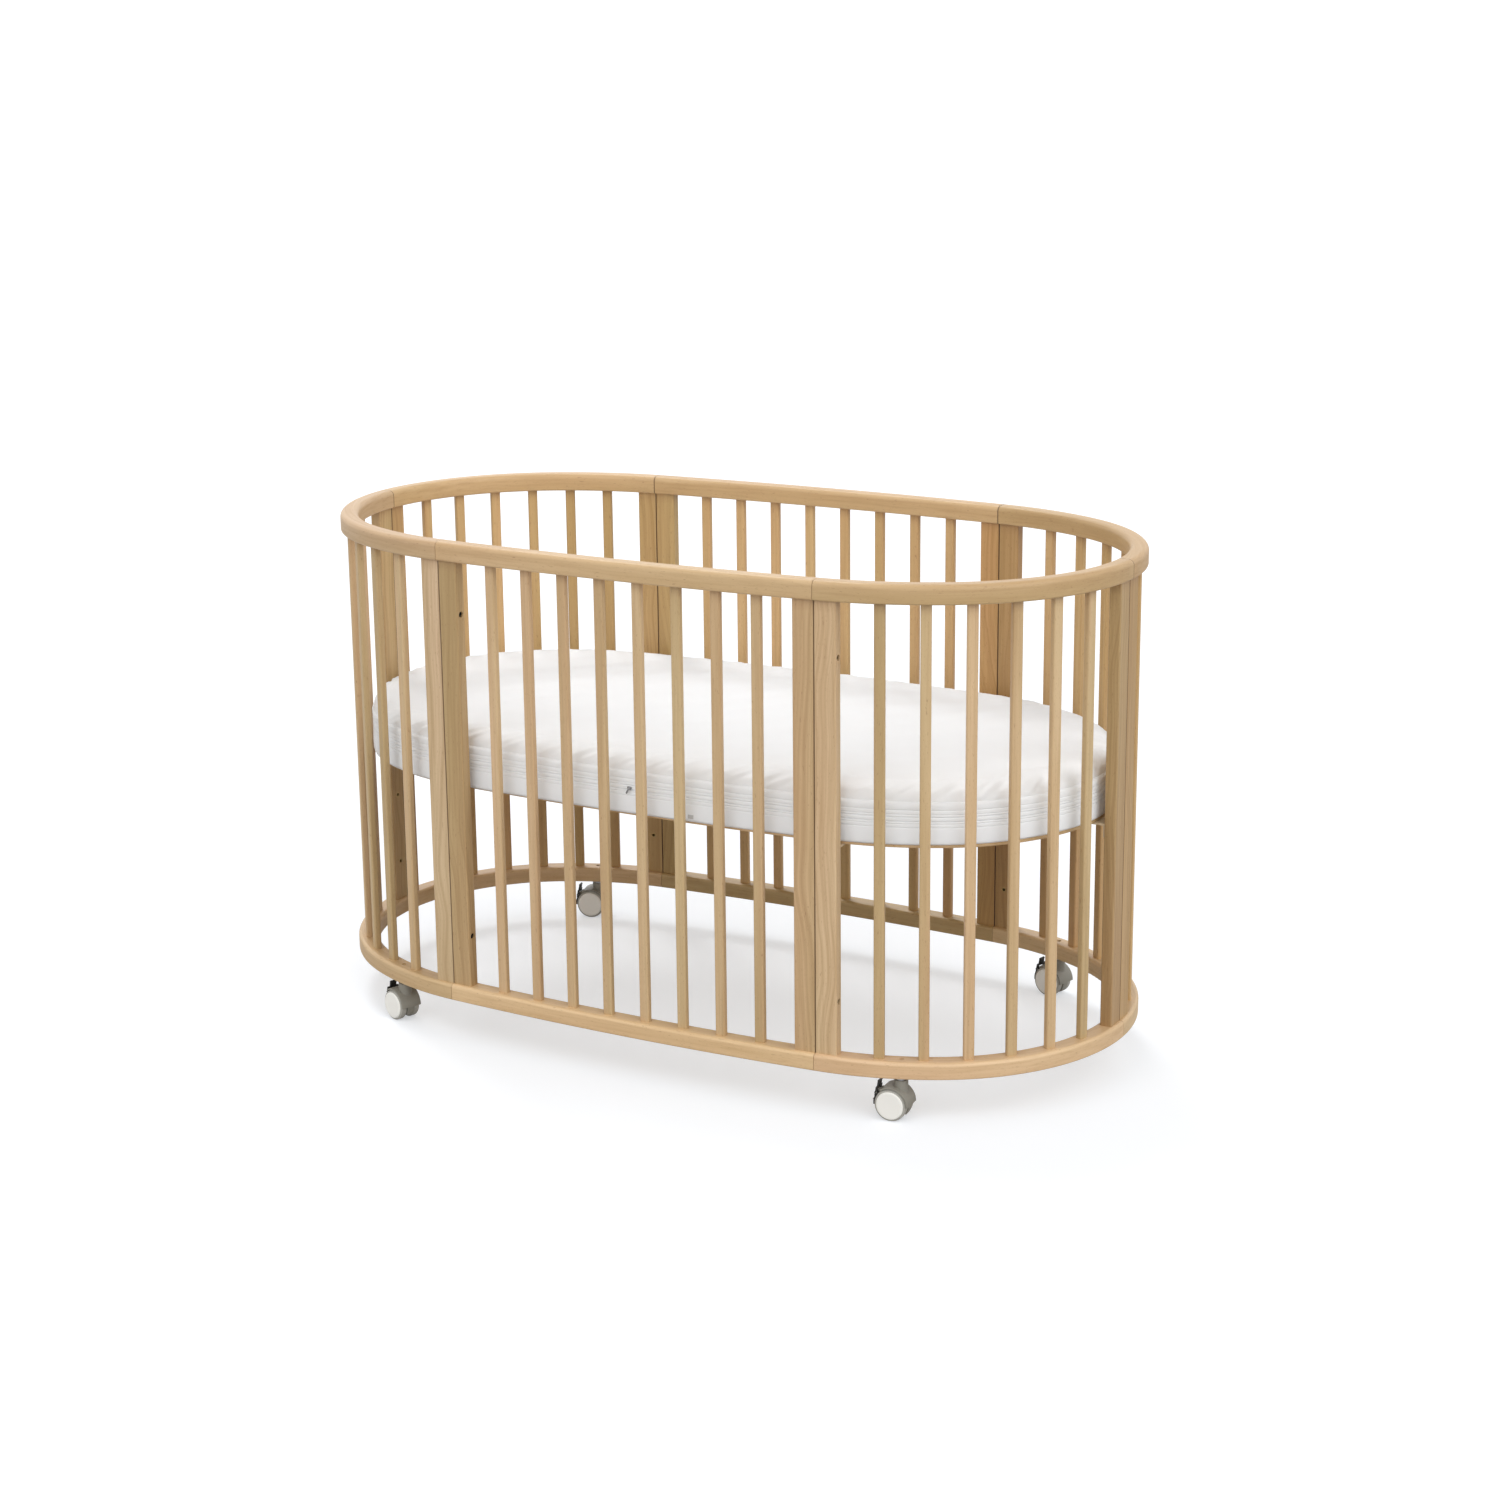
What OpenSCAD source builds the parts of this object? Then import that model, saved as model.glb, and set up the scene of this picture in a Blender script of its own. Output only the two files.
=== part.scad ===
// Oval baby crib: six slatted beech panels bolted end to end into an oval, a two-part base
// for the mattress carried on brackets, and four swivelling twin-wheel casters with brakes.
// Millimetres. +Z up, +X along the length, origin on the floor under the middle of the crib.

/* [Plan of the oval] */
// Half of the width, to the centreline of the rails
half_width = 354; // [345:1:365]
// Radius of the slight outward bow of the two side panels
side_radius = 4860; // [4000:20:6000]
// Distance of the side panels' end faces from the middle of the crib
seam_x = 342; // [330:1:350]
// Radius of the quarter panels where they leave the side panels
shoulder_radius = 459; // [440:1:480]
// Angle at which the shoulder radius gives way to the smaller end radius
shoulder_angle = 29; // [25:0.5:33]

/* [Heights] */
// Underside of the bottom rails above the floor
bottom_rail_z = 71; // [70:1:74]
// Height of the top of the top rails above the floor
crib_height = 854; // [820:1:900]
// Underside of the mattress base
base_z = 434; // [430:1:440]

/* [Rails] */
// Width of the top rails
top_rail_width = 31; // [30:0.5:34]
// Height of the top rails
top_rail_height = 31; // [28:0.5:36]
// Rounding of the top rails' upper edges
top_rail_round = 9; // [4:0.5:12]
// Width of the bottom rails
bottom_rail_width = 34; // [32:0.5:38]
// Height of the bottom rails
bottom_rail_height = 28; // [27:0.5:32]
// Rounding of the bottom rails' upper edges
bottom_rail_round = 6; // [2:0.5:8]

/* [Slats and boards] */
// Distance between the middles of neighbouring slats
slat_pitch = 69.5; // [66:0.5:72]
// Width of a slat
slat_width = 17; // [14:0.5:20]
// Thickness of a slat
slat_depth = 11.5; // [10:0.5:13]
// Width of one of the boards that end each panel
board_width = 36; // [34:0.5:40]
// Thickness of the boards
board_depth = 20; // [19:0.5:22]

/* [Mattress and base] */
// Gap from the rails' centreline to the edge of the base
base_inset = 26; // [24:0.5:30]
// Thickness of the base
base_thickness = 8; // [8:0.5:12]
// Gap from the rails' centreline to the side of the mattress
mattress_inset = 25; // [24:0.5:34]
// Thickness of the mattress
mattress_thickness = 90; // [60:1:110]

/* [Casters] */
// Radius of the wheels
wheel_radius = 26; // [25:0.5:26.5]
// Distance of the axle behind the stem
caster_trail = 12; // [10:0.5:14]
// Heading of the front left caster
front_left_turn = -19; // [-180:1:180]
// Heading of the front right caster
front_right_turn = 4; // [-180:1:180]
// Heading of the back left caster
back_left_turn = 16; // [-180:1:180]
// Heading of the back right caster
back_right_turn = -12; // [-180:1:180]

/* [Hidden] */
$fn = 64;
arc_fn = 360;

// Corners of the oval as signs of x and y
FRONT_LEFT = [-1, -1];
FRONT_RIGHT = [1, -1];
BACK_LEFT = [-1, 1];
BACK_RIGHT = [1, 1];
CORNERS = [FRONT_LEFT, FRONT_RIGHT, BACK_LEFT, BACK_RIGHT];
FRONT = -1;
BACK = 1;

// The plan is made of arcs. Angles are measured from +Y towards +X, so a point of an arc is
// centre + radius * [sin(angle), cos(angle)] and the same vector is the outward direction.
function heading(a) = [sin(a), cos(a)];
seam_angle = asin(seam_x / side_radius);
side_centre = [0, half_width - side_radius];
side_seam = side_centre + side_radius * heading(seam_angle);
shoulder_centre = side_seam - shoulder_radius * heading(seam_angle);
shoulder_end = shoulder_centre + shoulder_radius * heading(shoulder_angle);
end_radius = shoulder_end.y / cos(shoulder_angle);
end_centre = [shoulder_end.x - end_radius * sin(shoulder_angle), 0];
end_seam = [end_centre.x + end_radius, 0];

// Lengths of the arcs along the centreline of the rails
degree = PI / 180;
half_side_length = side_radius * seam_angle * degree;
shoulder_length = shoulder_radius * (shoulder_angle - seam_angle) * degree;
quarter_length = shoulder_length + end_radius * (90 - shoulder_angle) * degree;

// [x, y, angle] at distance u along the centreline of the side panel, from its middle
function side_station(u) =
    let (a = u / side_radius / degree, p = side_centre + side_radius * heading(a))
    [p.x, p.y, a];

// The same for the quarter panel at +X +Y, from the side seam to the end seam
function quarter_station(u) =
    let (
        on_shoulder = u < shoulder_length,
        a = on_shoulder ? seam_angle + u / shoulder_radius / degree
                        : shoulder_angle + (u - shoulder_length) / end_radius / degree,
        p = on_shoulder ? shoulder_centre + shoulder_radius * heading(a)
                        : end_centre + end_radius * heading(a)
    )
    [p.x, p.y, a];

// Slats are spread evenly about the middle of each panel
side_slat_count = 8;
quarter_slat_count = 6;
function spread(count, i) = (i - (count - 1) / 2) * slat_pitch;
side_slats = [for (i = [0:side_slat_count - 1]) side_station(spread(side_slat_count, i))];
quarter_slats = [for (i = [0:quarter_slat_count - 1])
    quarter_station(quarter_length / 2 + spread(quarter_slat_count, i))];

// Boards lie flat against each seam. Each is [x, y, angle, direction], the direction being +1
// for a board that runs on from the seam and -1 for one that runs back from it.
side_boards = [
    [side_seam.x, side_seam.y, seam_angle, -1],
    [-side_seam.x, side_seam.y, -seam_angle, 1]];
quarter_boards = [
    [side_seam.x, side_seam.y, seam_angle, 1],
    [end_seam.x, 0, 90, -1]];

// Levels
bottom_rail_top = bottom_rail_z + bottom_rail_height;
top_rail_z = crib_height - top_rail_height;
base_top = base_z + base_thickness;

// Small sizes of the woodwork
seam_gap = 0.4;          // the rails stop this far short of each seam
slat_round = 3;          // rounded edges of the slats
board_round = 2.5;       // rounded edges of the boards
rail_under_round = 3;    // rounding of the rails' lower edges
tenon_radius = 4;        // round tenons that are glued into the rails
tenon_length = 12;
tenon_play = 0.05;
tenon_spread = 9;        // tenons of a board, either side of its middle

// Bolts that pull two panels together, one high and one low at each seam
bolt_heights = [186, 735];
bolt_radius = 3;
bolt_head_radius = 4.8;
bolt_head_length = 5;
bolt_recess_radius = 5;
bolt_recess_depth = 8;
nut_radius = 4.2;        // round nuts set in the other board, flush with the seam
nut_length = 16;
bolt_reach = 14;         // the bolt goes this far past the seam
bolt_play = 0.05;
socket_radius = 2.3;     // hexagon socket in screw heads
socket_depth = 3;

// Threaded inserts in the inner faces, at three heights for the base
insert_heights = [170, 296, 422];
insert_radius = 4;
insert_length = 12;
insert_play = 0.05;
insert_bore = 3.05;

// Brackets under the base, on the highest row of inserts
bracket_width = 28;
bracket_gauge = 3;
bracket_reach = 40;
bracket_drop = 22;
bracket_hole = 3.3;
bracket_head_radius = 5.5;
bracket_head_length = 3;
bracket_z = insert_heights[2];
small_screw_radius = 1.9;
small_screw_play = 0.05;
small_head_radius = 4;
small_head_length = 2;
small_screw_bite = 6;    // depth of the small screws in the base

// Base
base_band = 60;          // width of the curved band around the base's straight-sided middle
arc_step = 0.05;         // how far inside the next arc of the band each arc lies
arc_overlap = 2;         // how far it runs on under it
vent_radius = 15;
vent_spacing = 110;
batten_width = 60;
batten_thickness = 12;
batten_half_length = 280;
batten_screw_y = [-240, -80, 80, 240];
batten_screw_x = 18;

// Casters
stem_angle_station = quarter_station(quarter_length / 2 + spread(quarter_slat_count, 0.5));
stem_radius = 4;
stem_length = 22;
spigot_radius = 3.5;
spigot_length = 18;
stem_play = 0.05;
stem_bore_top = 4;       // open hole above the stem socket
socket_wall = 1.45;
socket_flange_radius = 9;
socket_flange = 1;
collar_radius = 8;
housing_top = 66;
collar_clear = 0.3;
axle_radius = 3;
axle_half_length = 16.8;
axle_play = 0.05;
web_half = 6.5;          // the housing's web between the two wheels
wheel_inner_face = 6.8;
wheel_outer_face = 19;
wheel_gap = 1;           // between the wheel and the hood
hood_gauge = 2.5;
hood_angles = [0, 124];  // span of the hood around the axle, from straight ahead
tread_round = 3;
cap_radius = 21;
cap_rise = 0.7;
rim_groove = 0.8;
lever_half_width = 14;   // the pad, reaching over both treads
lever_cheek_half = 11;   // the cheeks either side of the housing's ear
lever_tab_half = 6;      // the tab pressed by hand or foot
lever_gauge = 3;
lever_pivot_radius = 30;
lever_pivot_angle = 150;
lever_pin_radius = 1.5;
lever_pin_play = 0.05;
lever_knuckle_radius = 3;
lever_pad_gap = 0.35;
axle_z = wheel_radius;

wood = [0.80, 0.65, 0.46];
steel = [0.70, 0.70, 0.72];

// ---------------------------------------------------------------- placing

module to_corner(corner) {
    mirror([corner.x < 0 ? 1 : 0, 0, 0])
        mirror([0, corner.y < 0 ? 1 : 0, 0])
            children();
}

module to_side(side) {
    mirror([0, side < 0 ? 1 : 0, 0])
        children();
}

// Local +X runs on along the rail and local +Y points outwards
module at_station(s) {
    translate([s.x, s.y, 0])
        rotate([0, 0, -s.z])
            children();
}

// Middle of a board's width, with the board's own direction along +X
module at_board(b) {
    at_station(b)
        mirror([b[3] < 0 ? 1 : 0, 0, 0])
            translate([board_width / 2, 0, 0])
                children();
}

// ---------------------------------------------------------------- plain shapes

// Rectangle with rounded corners, its middle at the origin
module rounded_rectangle(w, h, r) {
    square([w - 2 * r, h], center = true);
    square([w, h - 2 * r], center = true);
    for (x = [-1, 1], y = [-1, 1])
        translate([x * (w / 2 - r), y * (h / 2 - r)])
            circle(r);
}

// Section of a rail: standing on y = 0, with its own rounding above and below
module rail_section(w, h, upper, lower) {
    translate([-w / 2, lower])
        square([w, h - upper - lower]);
    translate([-w / 2 + lower, 0])
        square([w - 2 * lower, h / 2]);
    translate([-w / 2 + upper, h / 2])
        square([w - 2 * upper, h / 2]);
    for (x = [-1, 1]) {
        translate([x * (w / 2 - lower), lower])
            circle(lower);
        translate([x * (w / 2 - upper), h - upper])
            circle(upper);
    }
}

// Sweeps its child, drawn around x = 0, along an arc of the plan
module sweep(centre, radius, from, to) {
    translate([centre.x, centre.y, 0])
        rotate_extrude(angle = to - from, start = 90 - to, $fn = arc_fn)
            translate([radius, 0])
                children();
}

// Angle taken up by the seam gap at the end of an arc
function gap_angle(radius) = seam_gap / radius / degree;

module side_sweep() {
    sweep(side_centre, side_radius, -seam_angle + gap_angle(side_radius),
          seam_angle - gap_angle(side_radius))
        children();
}

// Both arcs start from the point where they meet, so that their ends coincide there
module quarter_sweep() {
    translate([shoulder_end.x, shoulder_end.y, 0])
        rotate([0, 0, 90 - shoulder_angle]) {
            arc_from_here(shoulder_radius,
                          shoulder_angle - seam_angle - gap_angle(shoulder_radius))
                children();
            mirror([0, 1, 0])
                arc_from_here(end_radius, 90 - shoulder_angle - gap_angle(end_radius))
                    children();
        }
}

// Sweeps its child from the origin, +X being outwards, turning towards -X on the +Y side
module arc_from_here(radius, turn) {
    translate([-radius, 0, 0])
        rotate_extrude(angle = turn, $fn = arc_fn)
            translate([radius, 0])
                children();
}

function arc_lap(radius) = arc_overlap / radius / degree;

// Outline of the whole oval, moved inwards, as a closed list of points
function quarter_outline(inset, step) = concat(
    [for (a = [0:step / 8:seam_angle]) side_centre + (side_radius - inset) * heading(a)],
    [for (a = [seam_angle:step:shoulder_angle])
        shoulder_centre + (shoulder_radius - inset) * heading(a)],
    [for (a = [shoulder_angle:step:90]) end_centre + (end_radius - inset) * heading(a)]);
function reversed(list) = [for (i = [len(list) - 1:-1:0]) list[i]];
function scaled(list, corner) = [for (p = list) [p.x * corner.x, p.y * corner.y]];
function oval_outline(inset) =
    let (q = quarter_outline(inset, 4))
    concat(q, reversed(scaled(q, FRONT_RIGHT)), scaled(q, FRONT_LEFT), reversed(scaled(q, BACK_LEFT)));

// Oval slab with a rounded edge: a curved band around a straight-sided filling. Each arc runs
// a little way on under the next smaller one, just inside it, so that they join cleanly.
module oval_slab(inset, height, upper, lower) {
    reach = inset + base_band / 2;
    for (side = [FRONT, BACK])
        to_side(side)
            sweep(side_centre, side_radius - reach - 2 * arc_step,
                  -seam_angle - arc_lap(side_radius), seam_angle + arc_lap(side_radius))
                edge_section(height, upper, lower);
    for (corner = CORNERS)
        to_corner(corner)
            sweep(shoulder_centre, shoulder_radius - reach - arc_step,
                  seam_angle, shoulder_angle + arc_lap(shoulder_radius))
                edge_section(height, upper, lower);
    for (end = [FRONT_LEFT, BACK_RIGHT])
        to_corner(end)
            sweep(end_centre, end_radius - reach, shoulder_angle, 180 - shoulder_angle)
                edge_section(height, upper, lower);
    linear_extrude(height)
        polygon(oval_outline(reach));
}

// Section of the slab's band: rounded outwards, square inwards
module edge_section(height, upper, lower) {
    w = base_band;
    translate([-w / 2, 0])
        square([w / 2, height]);
    translate([-w / 2, lower])
        square([w, height - upper - lower]);
    translate([0, 0])
        square([w / 2 - lower, height / 2]);
    translate([0, height / 2])
        square([w / 2 - upper, height / 2]);
    translate([w / 2 - upper, height - upper])
        circle(upper);
    translate([w / 2 - lower, lower])
        circle(lower);
}

// Screw along +X: head from x = 0 outwards, shank the other way
module cap_screw(head_radius, head_length, shank_radius, shank_length) {
    rotate([0, 90, 0])
        difference() {
            union() {
                cylinder(h = head_length, r = head_radius);
                translate([0, 0, -shank_length])
                    cylinder(h = shank_length + 0.01, r = shank_radius);
            }
            translate([0, 0, head_length - socket_depth])
                cylinder(h = socket_depth + 1, r = socket_radius, $fn = 6);
        }
}

// ---------------------------------------------------------------- woodwork

// Sockets for the tenons of slats and boards, opening at height z towards +Z or -Z
module tenon_sockets(slats, boards, z) {
    for (s = slats)
        at_station(s)
            translate([0, 0, z])
                cylinder(h = 2 * (tenon_length + 0.5), r = tenon_radius + tenon_play, center = true);
    for (b = boards, t = [-1, 1])
        at_board(b)
            translate([t * tenon_spread, 0, z])
                cylinder(h = 2 * (tenon_length + 0.5), r = tenon_radius + tenon_play, center = true);
}

module top_section() {
    rail_section(top_rail_width, top_rail_height, top_rail_round, rail_under_round);
}

module bottom_section() {
    rail_section(bottom_rail_width, bottom_rail_height, bottom_rail_round, rail_under_round);
}

module side_top_rail(side) {
    color(wood)
        to_side(side)
            difference() {
                translate([0, 0, top_rail_z])
                    side_sweep()
                        top_section();
                tenon_sockets(side_slats, side_boards, top_rail_z);
            }
}

module side_bottom_rail(side) {
    color(wood)
        to_side(side)
            difference() {
                translate([0, 0, bottom_rail_z])
                    side_sweep()
                        bottom_section();
                tenon_sockets(side_slats, side_boards, bottom_rail_top);
            }
}

module quarter_top_rail(corner) {
    color(wood)
        to_corner(corner)
            difference() {
                translate([0, 0, top_rail_z])
                    quarter_sweep()
                        top_section();
                tenon_sockets(quarter_slats, quarter_boards, top_rail_z);
            }
}

module quarter_bottom_rail(corner) {
    color(wood)
        to_corner(corner)
            difference() {
                translate([0, 0, bottom_rail_z])
                    quarter_sweep()
                        bottom_section();
                tenon_sockets(quarter_slats, quarter_boards, bottom_rail_top);
                at_station(stem_angle_station)
                    stem_socket_hole();
            }
}

// Stepped hole for a stem socket: wide from below, narrow where it opens on top
module stem_socket_hole() {
    translate([0, 0, bottom_rail_z - 1])
        cylinder(h = stem_length + 3, r = stem_radius + stem_play + socket_wall + stem_play);
    translate([0, 0, bottom_rail_z])
        cylinder(h = bottom_rail_height + 1, r = stem_bore_top);
}

module upright(z0, z1) {
    translate([0, 0, z0])
        linear_extrude(z1 - z0)
            children();
}

// Round tenons at both ends of a slat or board
module tenons() {
    for (z = [bottom_rail_top - tenon_length, top_rail_z])
        translate([0, 0, z])
            cylinder(h = tenon_length, r = tenon_radius);
}

module slat() {
    upright(bottom_rail_top, top_rail_z)
        rounded_rectangle(slat_width, slat_depth, slat_round);
    tenons();
}

module slats(stations) {
    color(wood)
        for (s = stations)
            at_station(s)
                slat();
}

// A board with the holes for the joint bolts; the seam is at -X of its middle. It either takes
// the bolts' heads in recesses on its far edge or holds their nuts in blind holes at the seam.
module board(takes_heads) {
    difference() {
        union() {
            upright(bottom_rail_top, top_rail_z)
                rounded_rectangle(board_width, board_depth, board_round);
            for (t = [-1, 1])
                translate([t * tenon_spread, 0, 0])
                    tenons();
        }
        for (z = bolt_heights)
            translate([0, 0, z])
                rotate([0, 90, 0])
                    if (takes_heads) {
                        cylinder(h = board_width + 2, r = bolt_hole, center = true);
                        translate([0, 0, board_width / 2 - bolt_recess_depth])
                            cylinder(h = bolt_recess_depth + 1, r = bolt_recess_radius);
                    } else {
                        translate([0, 0, -board_width / 2 - 1])
                            cylinder(h = nut_length + 2, r = nut_hole);
                    }
    }
}

// Blind holes for the inserts, in a board's inner face
module insert_holes() {
    for (z = insert_heights)
        translate([0, -board_depth / 2, z])
            rotate([90, 0, 0])
                cylinder(h = 2 * insert_length, r = insert_radius + insert_play, center = true);
}

bolt_hole = bolt_radius + 0.3;
nut_hole = nut_radius + 0.1;

// Of the two boards at a seam, the right-hand one takes the bolts' heads, seen from outside
module boards_of_side(side) {
    color(wood)
        to_side(side)
            for (b = side_boards)
                at_board(b)
                    board(b[3] == -side);
}

module boards_of_quarter(corner) {
    first_takes_heads = corner.x * corner.y < 0;
    color(wood)
        to_corner(corner)
            for (i = [0, 1])
                at_board(quarter_boards[i])
                    difference() {
                        board(first_takes_heads == (i == 0));
                        insert_holes();
                    }
}

// ---------------------------------------------------------------- hardware

// Every seam with the board that takes the bolts' heads, as [corner, board]. The side panels'
// boards are drawn at +Y, so the corner only says which side they are turned to.
bolt_places = [
    [FRONT_RIGHT, side_boards[1]], [FRONT_RIGHT, quarter_boards[0]],
    [BACK_RIGHT, quarter_boards[1]], [BACK_RIGHT, side_boards[0]],
    [BACK_LEFT, quarter_boards[0]], [FRONT_LEFT, quarter_boards[1]]];

// Local origin on the seam, +X into the board that takes the bolts' heads
module at_bolts() {
    for (place = bolt_places, z = bolt_heights)
        to_corner(place[0])
            at_board(place[1])
                translate([-board_width / 2, 0, z])
                    children();
}

bolt_seat = board_width - bolt_recess_depth;

module joint_bolts() {
    color(steel)
        at_bolts()
            translate([bolt_seat, 0, 0])
                cap_screw(bolt_head_radius, bolt_head_length, bolt_radius, bolt_seat + bolt_reach);
}

module joint_nuts() {
    color(steel)
        at_bolts()
            rotate([0, -90, 0])
                difference() {
                    cylinder(h = nut_length, r = nut_radius);
                    translate([0, 0, -1])
                        cylinder(h = nut_length + 2, r = bolt_radius + bolt_play);
                }
}

module at_inserts(heights) {
    for (corner = CORNERS, b = quarter_boards, z = heights)
        to_corner(corner)
            at_board(b)
                translate([0, -board_depth / 2, z])
                    children();
}

module threaded_inserts() {
    color("goldenrod")
        at_inserts(insert_heights)
            rotate([-90, 0, 0])
                difference() {
                    cylinder(h = insert_length, r = insert_radius);
                    translate([0, 0, -1])
                        cylinder(h = insert_length + 2, r = insert_bore);
                }
}

// Local origin on the board's inner face at the bracket's screw, +Y outwards
module base_brackets() {
    drop = bracket_drop;
    top = base_z - bracket_z;
    color(steel)
        at_inserts([bracket_z])
            difference() {
                union() {
                    translate([-bracket_width / 2, -bracket_gauge, top - drop])
                        cube([bracket_width, bracket_gauge, drop]);
                    translate([-bracket_width / 2, -bracket_reach, top - bracket_gauge])
                        cube([bracket_width, bracket_reach, bracket_gauge]);
                }
                rotate([90, 0, 0])
                    cylinder(h = 4 * bracket_gauge, r = bracket_hole, center = true);
                translate([0, -bracket_reach + 10, 0])
                    cylinder(h = 2 * drop, r = small_screw_radius + small_screw_play, center = true);
            }
}

module bracket_screws() {
    color(steel)
        at_inserts([bracket_z])
            translate([0, -bracket_gauge, 0])
                rotate([0, 0, -90])
                    cap_screw(bracket_head_radius, bracket_head_length, bolt_radius,
                              bracket_gauge + insert_length - 2);
}

// Small pan-head screw standing on its head, the head's upper face at z = 0
module small_screw(grip) {
    translate([0, 0, -small_head_length])
        cylinder(h = small_head_length, r = small_head_radius);
    translate([0, 0, -0.01])
        cylinder(h = grip + small_screw_bite, r = small_screw_radius);
}

module at_bracket_holes() {
    at_inserts([base_z - bracket_gauge])
        translate([0, -bracket_reach + 10, 0])
            children();
}

module at_batten_holes() {
    for (x = [-1, 1], y = batten_screw_y)
        translate([x * batten_screw_x, y, base_z - batten_thickness])
            children();
}

module screw_hole(grip) {
    translate([0, 0, -1])
        cylinder(h = grip + small_screw_bite + 1.5, r = small_screw_radius + small_screw_play);
}

module base_screws() {
    color(steel)
        at_bracket_holes()
            small_screw(bracket_gauge);
}

module batten_screws() {
    color(steel)
        at_batten_holes()
            small_screw(batten_thickness);
}

module base_batten() {
    color(wood)
        difference() {
            translate([-batten_width / 2, -batten_half_length, base_z - batten_thickness])
                cube([batten_width, 2 * batten_half_length, batten_thickness]);
            at_batten_holes()
                screw_hole(batten_thickness);
        }
}

// One half of the base, drawn at +X, with round ventilation holes
module base_half() {
    difference() {
        translate([0, 0, base_z])
            intersection() {
                oval_slab(base_inset, base_thickness, 1, 1);
                translate([0, -500, -1])
                    cube([1000, 1000, base_thickness + 2]);
            }
        for (i = [0:4], j = [-1:1])
            if (i < 4 || j == 0)
                translate([vent_spacing * (i + 0.9), vent_spacing * j * 1.3, base_z - 1])
                    cylinder(h = base_thickness + 2, r = vent_radius);
        at_bracket_holes()
            screw_hole(bracket_gauge);
        at_batten_holes()
            screw_hole(batten_thickness);
    }
}

module base_right_plate() {
    color(wood)
        base_half();
}

module base_left_plate() {
    color(wood)
        mirror([1, 0, 0])
            base_half();
}

module mattress() {
    color("white")
        translate([0, 0, base_top])
            oval_slab(mattress_inset, mattress_thickness, 1, 8);
}

// ---------------------------------------------------------------- casters

module stem_sockets() {
    color("dimgray")
        for (corner = CORNERS)
            to_corner(corner)
                at_station(stem_angle_station)
                    difference() {
                        union() {
                            translate([0, 0, bottom_rail_z])
                                cylinder(h = stem_length + 2, r = stem_radius + stem_play + socket_wall);
                            translate([0, 0, bottom_rail_z - socket_flange])
                                cylinder(h = socket_flange, r = socket_flange_radius);
                        }
                        translate([0, 0, bottom_rail_z - 2])
                            cylinder(h = stem_length + 8, r = stem_radius + stem_play);
                    }
}

module caster_stems() {
    collar_z = housing_top + collar_clear;
    collar_top = bottom_rail_z - socket_flange;
    color(steel)
        for (corner = CORNERS)
            to_corner(corner)
                at_station(stem_angle_station) {
                    translate([0, 0, collar_top - 0.01])
                        cylinder(h = stem_length + socket_flange, r = stem_radius);
                    translate([0, 0, collar_z])
                        cylinder(h = collar_top - collar_z, r = collar_radius);
                    translate([0, 0, collar_z - spigot_length])
                        cylinder(h = spigot_length + 0.01, r = spigot_radius);
                }
}

// Caster's own frame: stem axis at the origin, rolling towards +X, axle behind it
module at_caster(corner, turn) {
    translate([corner.x * stem_angle_station.x, corner.y * stem_angle_station.y, 0])
        rotate([0, 0, turn])
            children();
}

// Side view of the caster, x forwards and y up, extruded evenly about the middle plane
module side_view(half_thickness) {
    rotate([90, 0, 0])
        translate([0, 0, -half_thickness])
            linear_extrude(2 * half_thickness)
                children();
}

// Point of the side view at an angle and distance from the axle, 0 being straight ahead
function around_axle(radius, angle) =
    [-caster_trail + radius * cos(angle), axle_z + radius * sin(angle)];
lever_pivot = around_axle(lever_pivot_radius, lever_pivot_angle);

module axle_point() {
    translate([-caster_trail, axle_z])
        children();
}

// Sector of a ring around the axle
module ring_sector(inner, outer, from, to) {
    far = 3 * outer;
    difference() {
        axle_point()
            circle(outer);
        axle_point()
            circle(inner);
        axle_point()
            polygon(concat([[0, 0]],
                [for (a = [to:(from + 360 - to) / 6:from + 360.001]) far * [cos(a), sin(a)]]));
    }
}

module caster_housing_shape() {
    hood_inner = wheel_radius + wheel_gap;
    hood_outer = hood_inner + hood_gauge;
    difference() {
        union() {
            // Hood over both wheels
            side_view(wheel_outer_face)
                ring_sector(hood_inner, hood_outer, hood_angles[0], hood_angles[1]);
            // Seat under the stem's collar
            intersection() {
                translate([0, 0, axle_z])
                    cylinder(h = housing_top - axle_z, r = collar_radius + 3);
                side_view(wheel_outer_face)
                    difference() {
                        translate([-30, axle_z])
                            square([60, 60]);
                        axle_point()
                            circle(hood_inner);
                    }
            }
            // Web between the wheels, with the boss for the stem and the ear for the lever
            side_view(web_half) {
                ring_sector(0.01, hood_inner + 0.5, -35, hood_angles[1]);
                axle_point()
                    circle(11);
                translate([-8, axle_z])
                    square([16, housing_top - 4 - axle_z]);
                polygon([around_axle(8, 60), around_axle(lever_pivot_radius, 133),
                    around_axle(lever_pivot_radius + 2, 148), lever_pivot, around_axle(9, 190)]);
                translate(lever_pivot)
                    circle(lever_knuckle_radius);
            }
            // Pin that the lever rocks on
            side_view(lever_cheek_half - 1)
                translate(lever_pivot)
                    circle(lever_pin_radius);
        }
        translate([0, 0, housing_top + collar_clear - spigot_length - 1])
            cylinder(h = spigot_length + 5, r = spigot_radius + stem_play);
        side_view(web_half + 1)
            axle_point()
                circle(axle_radius + axle_play);
    }
}

module caster_housing(corner, turn) {
    color("gray")
        at_caster(corner, turn)
            caster_housing_shape();
}

module caster_axle(corner, turn) {
    color(steel)
        at_caster(corner, turn)
            side_view(axle_half_length)
                axle_point()
                    circle(axle_radius);
}

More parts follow.
